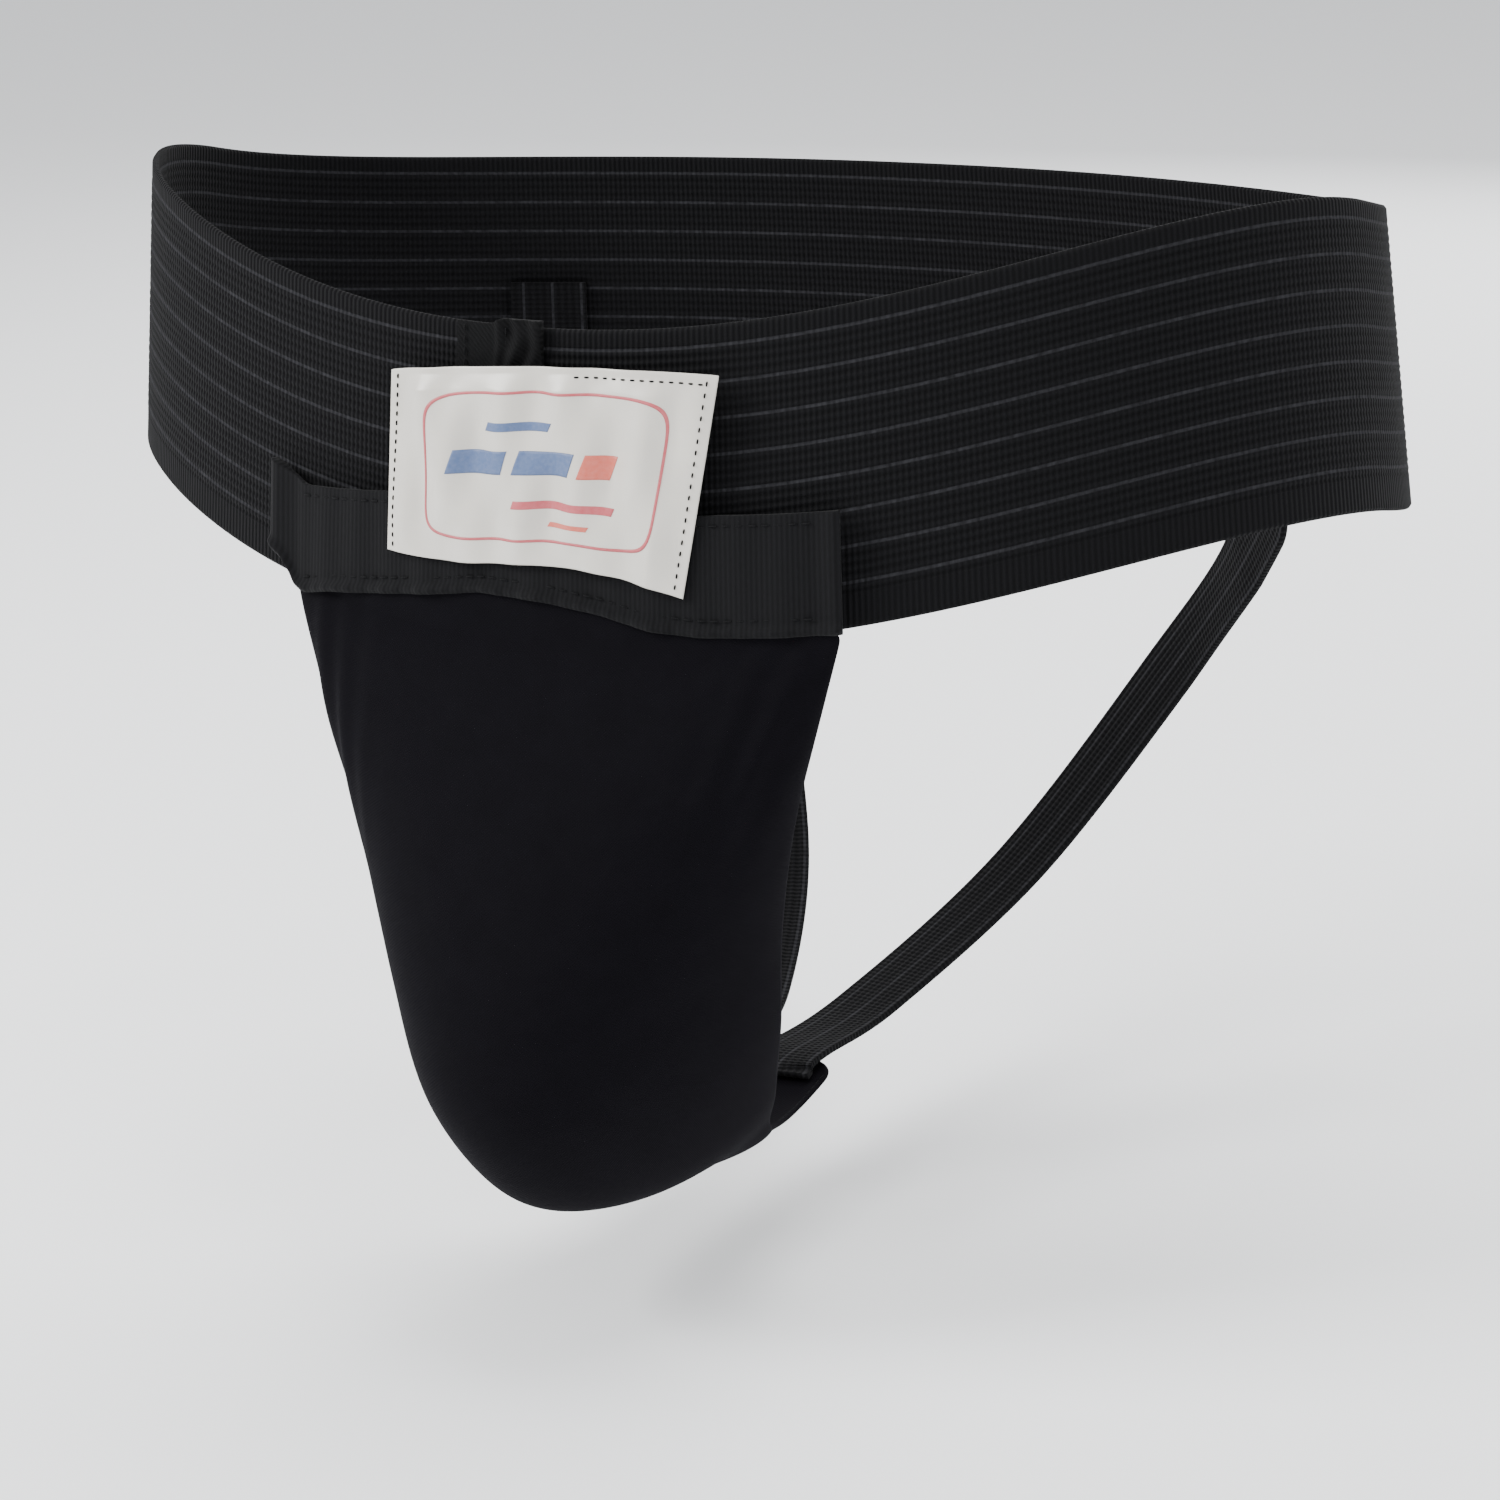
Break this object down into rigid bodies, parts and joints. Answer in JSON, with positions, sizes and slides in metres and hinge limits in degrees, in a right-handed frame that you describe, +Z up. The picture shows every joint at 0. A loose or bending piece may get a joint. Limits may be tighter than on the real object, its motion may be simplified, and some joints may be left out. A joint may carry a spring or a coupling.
{
  "type": "groin protector",
  "caption": "Wide ribbed elastic waistband with a deep knitted pouch that holds a removable hard cup, and leg straps to the back.",
  "frame": {"origin": "centre of the waist opening at half the band's height", "axes": "+X the wearer's left, -Y the front, +Z up"},
  "size_m": [0.355, 0.2584, 0.2521],
  "materials": {
    "band_elastic": "ribbed woven elastic",
    "cover_cloth": "plain woven",
    "tape_elastic": "fine ribbed elastic",
    "pouch_knit": "smooth matte knit",
    "lining_knit": "mesh knit",
    "strap_elastic": "woven elastic",
    "label_satin": "printed satin",
    "cup_plastic": "moulded polypropylene",
    "rim_rubber": "soft moulded",
    "thread": "polyester thread"
  },
  "bodies": {
    "supporter": {"waistband": "band_elastic", "join_cover": "cover_cloth", "pouch_tape": "tape_elastic", "pouch_front": "pouch_knit", "pocket_lining": "lining_knit", "leg_strap_left": "strap_elastic", "leg_strap_right": "strap_elastic", "label": "label_satin", "cover_stitching": "thread", "tape_stitching_upper": "thread", "tape_stitching_lower": "thread", "label_stitching": "thread", "side_seam_left": "thread", "side_seam_right": "thread", "front_tack_left": "thread", "front_tack_right": "thread", "rear_tack_left": "thread", "rear_tack_right": "thread"},
    "cup": {"cup_shell": "cup_plastic", "cup_rim": "rim_rubber"}
  },
  "joints": [
    {"name": "cup_slide", "type": "slide", "parent": "supporter", "child": "cup", "axis": [0, 0.5, 0.866], "range_m": [0, 0.26], "deforming": ["pocket_lining"]}
  ]
}
